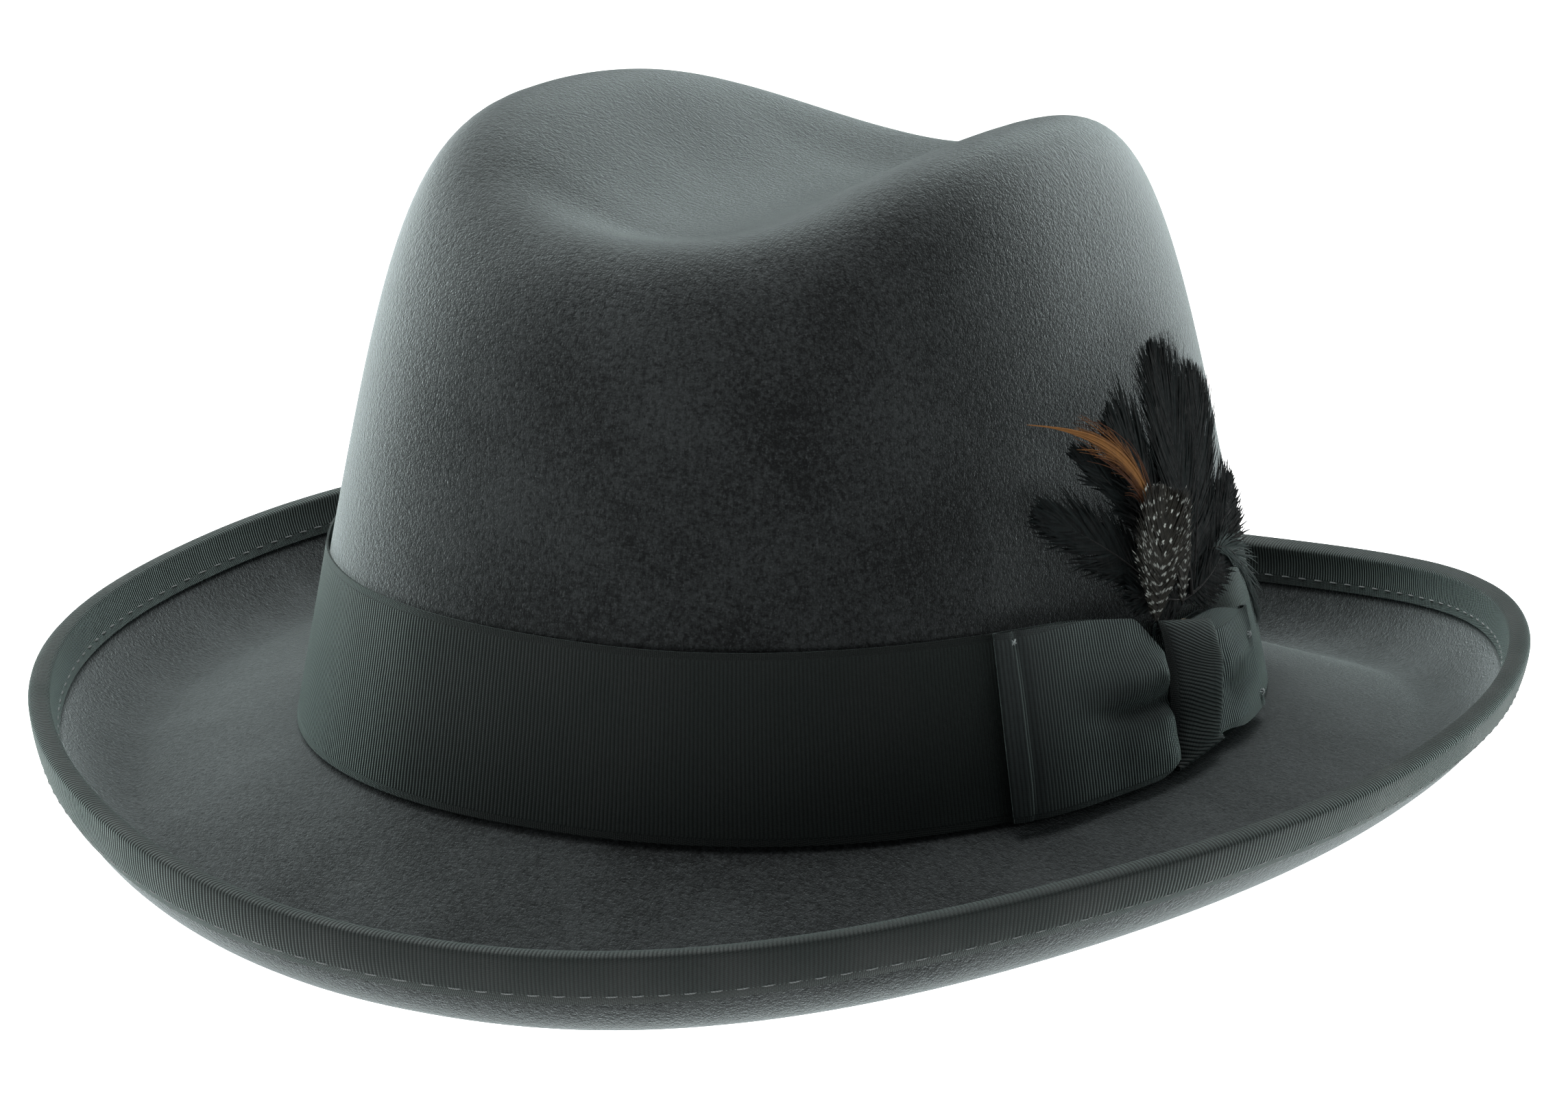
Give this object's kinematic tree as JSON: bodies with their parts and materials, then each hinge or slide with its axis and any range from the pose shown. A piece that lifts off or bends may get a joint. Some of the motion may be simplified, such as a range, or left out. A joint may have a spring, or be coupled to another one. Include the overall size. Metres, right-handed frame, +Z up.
{
  "type": "fedora hat",
  "caption": "Felt hat with a creased crown, a brim curled up and bound in ribbon all round, a ribbon band with a side bow, and a feather spray that pulls out of the bow.",
  "frame": {"origin": "centre of the bounding box of the hat, on the surface that the brim rests on", "axes": "+Z up as the hat stands or is worn, -Y to the front, +X to the wearer's left (the bow side)"},
  "size_m": [0.2804, 0.3082, 0.1416],
  "materials": {
    "felt": "brushed fur felt, matt with a fine nap",
    "ribbon": "ribbed grosgrain ribbon",
    "thread": "cotton thread",
    "leather": "smooth, a little shiny",
    "satin": "satin weave",
    "paper": "plain card",
    "quill": "bound quills",
    "black_feather": "soft barbs, slight green sheen",
    "orange_feather": "loose barbs",
    "guinea_feather": "dark barbs with pale spots"
  },
  "bodies": {
    "hat": {"felt_body": "felt", "brim_binding": "ribbon", "binding_stitch_upper": "thread", "binding_stitch_lower": "thread", "hatband": "ribbon", "bow_front_wing": "ribbon", "bow_rear_wing": "ribbon", "bow_knot": "ribbon", "bow_tack_front_upper": "thread", "bow_tack_front_lower": "thread", "bow_tack_rear_upper": "thread", "bow_tack_rear_lower": "thread", "sweatband": "leather", "sweatband_reed": "ribbon", "sweatband_stitching": "thread", "sweatband_bow": "ribbon", "size_tab": "paper", "lining_side": "satin", "lining_tip": "satin"},
    "feather_spray": {"feather_stub": "quill", "feather_black_low": "black_feather", "feather_black_rear_low": "black_feather", "feather_black_small": "black_feather", "feather_black_rear": "black_feather", "feather_black_upper": "black_feather", "feather_black_tall": "black_feather", "feather_plume_orange": "orange_feather", "feather_guinea": "guinea_feather"}
  },
  "joints": [
    {"name": "feather_slide", "type": "slide", "parent": "hat", "child": "feather_spray", "axis": [-0.1991, -0.033, 0.9794], "range_m": [0, 0.04]}
  ]
}
